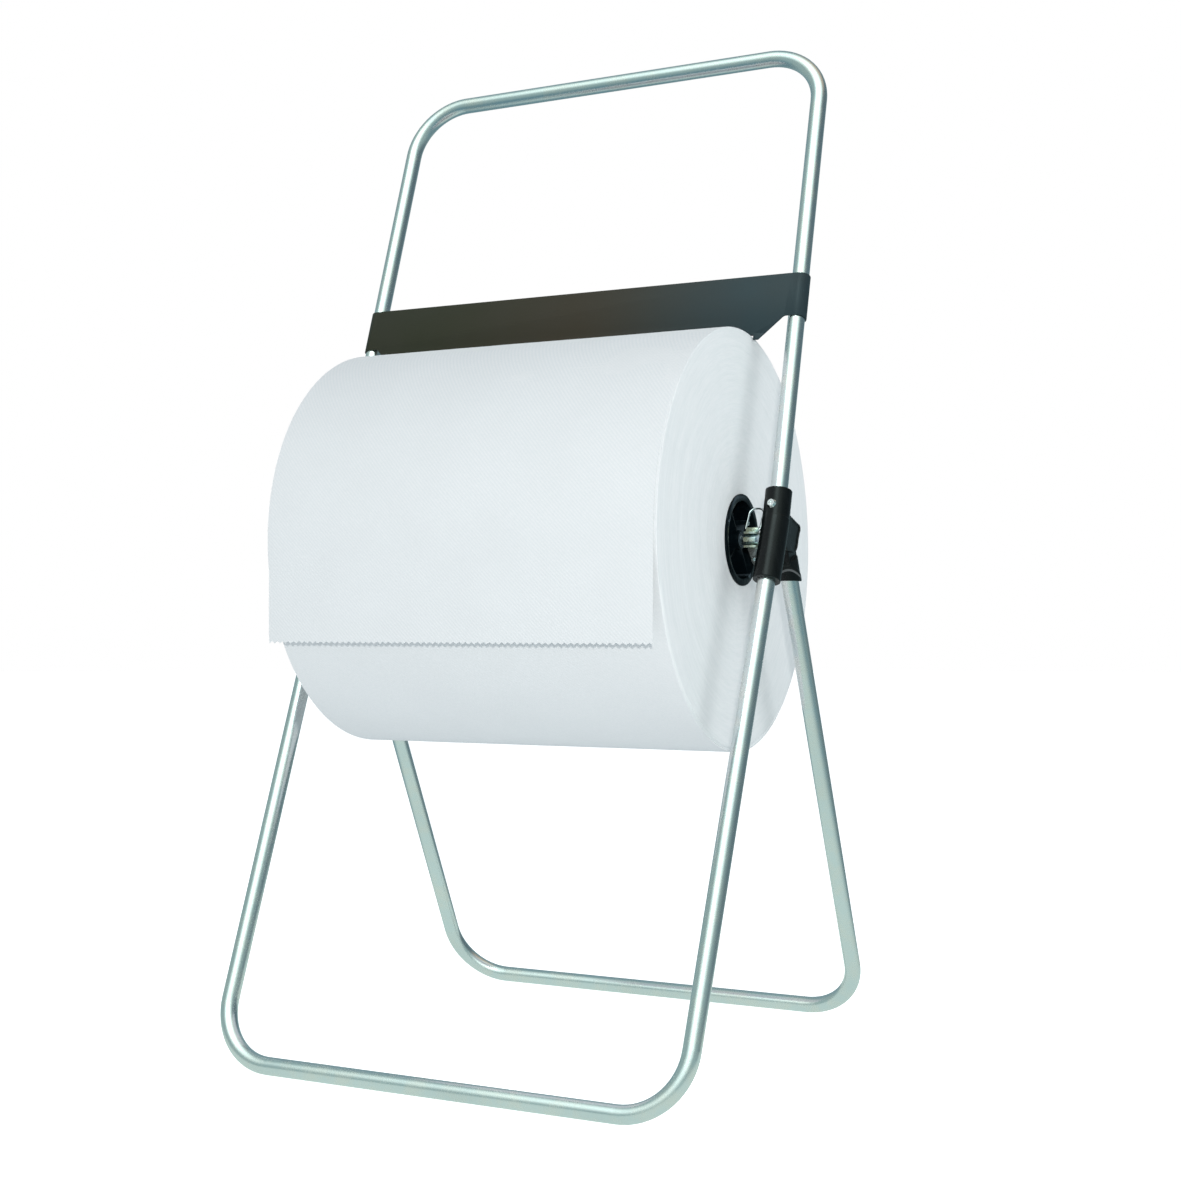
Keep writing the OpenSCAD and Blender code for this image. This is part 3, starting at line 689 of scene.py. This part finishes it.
def wound_roll():
    """The wound paper as one closed ring: two uneven ends, an uneven side and a bore."""
    turns, rings, columns = 288, 84, 44
    bore = CORE_R + 0.05 * MM
    rim = ROLL_RIM
    rows = []
    for side in (1, -1):
        face = []
        for k in range(rings + 1):
            share = k / rings
            face.append((bore + (ROLL_R - rim - bore) * share, side * ROLL_HALF, side))
        for k in range(1, 4):
            bend = math.radians(90 * k / 4)
            face.append((ROLL_R - rim + rim * math.sin(bend),
                         side * (ROLL_HALF - rim + rim * math.cos(bend)), side))
        if side > 0:
            rows += face
            rows += [(ROLL_R, (ROLL_HALF - rim) * (1 - 2 * k / columns), 0)
                     for k in range(columns + 1)]
        else:
            rows += face[::-1]
    verts, faces = [], []
    for radius, x, side in rows:
        for k in range(turns):
            turn = 2 * math.pi * k / turns
            r, out = radius, x
            if side:
                fade = min(1.0, (radius - bore) / BORE_CALM)
                out += side * ring_offset(radius, turn, side) * fade
                gap = math.exp(-((radius - ROLL_R + LOOSE_LAYER) / LOOSE_WIDTH) ** 2)
                below = max(0.0, math.cos(turn + LOOSE_TURN))
                out -= side * gap * below ** 1.5 * LOOSE_DEPTH
            if side == 0 or radius > ROLL_R - rim:
                r += side_offset(x, turn)
            verts.append((AXIS.x + out, AXIS.y + r * math.cos(turn), AXIS.z + r * math.sin(turn)))
    count = len(rows)
    for i in range(count):
        j = (i + 1) % count
        for k in range(turns):
            m = (k + 1) % turns
            faces.append((i * turns + k, j * turns + k, j * turns + m, i * turns + m))
    mesh = outward("wiping_roll", verts, faces, 50.0)
    new_piece("wiping_roll", mesh, "roll", "paper_roll", PAPER_SIDE)
    mesh.materials.append(PAPER_END)
    edge = ROLL_R - 0.75 * rim
    for face in mesh.polygons:
        middle = face.center - AXIS
        if math.hypot(middle.y, middle.z) < edge:
            face.material_index = 1


wound_roll()

TAIL_LOW, TAIL_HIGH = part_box("paper_tail")
TOOTH = 6.0 * MM            # width of a torn tooth
TOOTH_DEPTH = 0.33          # its depth, as a share of its width
SHEET_WRAP = math.radians(70.0)
SHEET_THICK = 0.34 * MM
SHEET_CLEAR = 0.25 * MM     # in front of the roll where it hangs
SHEET_SINK = 0.75 * MM      # how far it goes under the roll's side higher up


def sheet_sway(x, s):
    """How far back of plumb the sheet hangs, in millimetres, s of the way down its drop."""
    sway = 1.1 * wobble(x * 6.0, 2.0 * s, 9.0) + 0.35 * wobble(x * 19.0, 3.0 * s, 4.0)
    curl = 11.2 * max(0.0, s - 0.7) ** 2 - s * s
    return s * s * sway + curl


def hanging_sheet():
    """The free end of the paper: it leaves the roll at the front, hangs and ends in torn teeth."""
    half = TAIL_HIGH.x
    drop = AXIS.z - TAIL_LOW.z
    columns = 4 * int(half / TOOTH)
    wrap_rows, drop_rows = 40, 34
    last_row = wrap_rows + drop_rows
    front, back = [], []
    for i in range(last_row + 1):
        for k in range(columns + 1):
            u = -1 + 2 * k / columns
            x = u * half
            if i <= wrap_rows:
                share = 1 - i / wrap_rows
                angle = SHEET_WRAP * share
                lift = SHEET_CLEAR - SHEET_SINK * min(1.0, max(0.0, share - 0.06) * 1.9)
                normal = Vector((0.0, -math.cos(angle), math.sin(angle)))
                centre = Vector((x, AXIS.y, AXIS.z)) + (ROLL_R + lift) * normal
            else:
                s = (i - wrap_rows) / drop_rows
                z = AXIS.z - s * drop
                if i == last_row:
                    torn = 0.35 * wobble(k * 0.9, 4.0, 1.0)
                    z += TOOTH * (TOOTH_DEPTH + 0.08 * torn) if k % 2 else -0.25 * MM * torn
                skew = 0.6 * MM * s * u
                y = AXIS.y - ROLL_R - SHEET_CLEAR + MM * sheet_sway(x, s)
                centre = Vector((x - skew, y, z))
                normal = Vector((0.0, -1.0, 0.0))
            front.append(centre + normal * SHEET_THICK)
            back.append(centre)
    rows, cols = last_row + 1, columns + 1
    shift = rows * cols
    faces = []
    for i in range(rows - 1):
        for k in range(cols - 1):
            a, b = i * cols + k, i * cols + k + 1
            c, d = b + cols, a + cols
            faces.append((a, d, c, b))
            faces.append((a + shift, b + shift, c + shift, d + shift))
    for i in range(rows - 1):
        a, d = i * cols, (i + 1) * cols
        faces.append((a, a + shift, d + shift, d))
        b, c = a + cols - 1, d + cols - 1
        faces.append((b, c, c + shift, b + shift))
    last = (rows - 1) * cols
    for k in range(cols - 1):
        faces.append((k, k + 1, k + 1 + shift, k + shift))
        faces.append((last + k, last + k + shift, last + k + 1 + shift, last + k + 1))
    mesh = outward("hanging_sheet", [v[:] for v in front + back], faces, 40.0)
    obj = new_piece("hanging_sheet", mesh, "spindle", "paper_tail", PAPER_SHEET)


hanging_sheet()


# ---------- sheet metal and plugs ----------

EAR_PROUD = 0.04 * MM       # keeps the ears' faces off the tear plate's
EAR_REACH = 3.3 * MM        # how far an ear's top goes in over the tooth gap beside it
EAR_RISE = 3.2 * MM         # and how far it goes up there
SAME_EDGE = 0.1 * MM


def closed_ears():
    """The plate's end ears, drawn up over the seam and the tooth gap beside them."""
    ears = welded("plate_ears")
    edit = bmesh.new()
    for side in SIDES.values():
        corners = [v.co for v in ears.verts if side * v.co.x > 0]
        inner = min(abs(c.x) for c in corners)
        outer = max(abs(c.x) for c in corners)
        edge = sorted((c for c in corners if abs(c.x) < inner + SAME_EDGE), key=lambda c: c.z)
        foot, back = sorted(edge[:2], key=lambda c: c.y)
        rise = (edge[3] + edge[2] - edge[1] - edge[0]) / 2
        tall = rise.length
        up = rise.normalized()
        deep = back - foot
        start = foot - EAR_PROUD * deep.normalized()
        # Points along the plate and up it: the foot, the outer corner, the tooth gap, the seam
        outline = [(inner, 0.0), (outer - tall, 0.0), (outer + 0.8 * MM, tall + 0.8 * MM),
                   (inner - EAR_REACH, tall + EAR_RISE),
                   (inner - EAR_REACH - 1.4 * MM, tall + 0.15 * MM),
                   (inner, tall - 0.25 * MM)]
        front = [edit.verts.new(start + up * u + Vector((side * (x - inner), 0.0, 0.0)))
                 for x, u in outline]
        rear = [edit.verts.new(v.co + deep) for v in front]
        edit.faces.new(front)
        edit.faces.new(rear[::-1])
        for k in range(len(outline)):
            m = (k + 1) % len(outline)
            edit.faces.new((front[k], front[m], rear[m], rear[k]))
    ears.free()
    bmesh.ops.recalc_face_normals(edit, faces=edit.faces)
    return edit


eased("tear_plate", "tear_plate_coated", "front_frame", "coated_plate", 0.22 * MM)
eased("plate_ears", "plate_ears_coated", "front_frame", "coated_plate", 0.12 * MM,
      edit=closed_ears())
for side in SIDES:
    eased(side + "_bracket", side + "_bracket_eased", "front_frame", "grey_sheet", 0.3 * MM)
    eased(side + "_jaw", side + "_jaw_eased", "front_frame", "yellow_zinc", 0.3 * MM)
    eased(side + "_core_plug", side + "_plug_moulding", "roll", "gloss_black", 0.3 * MM)
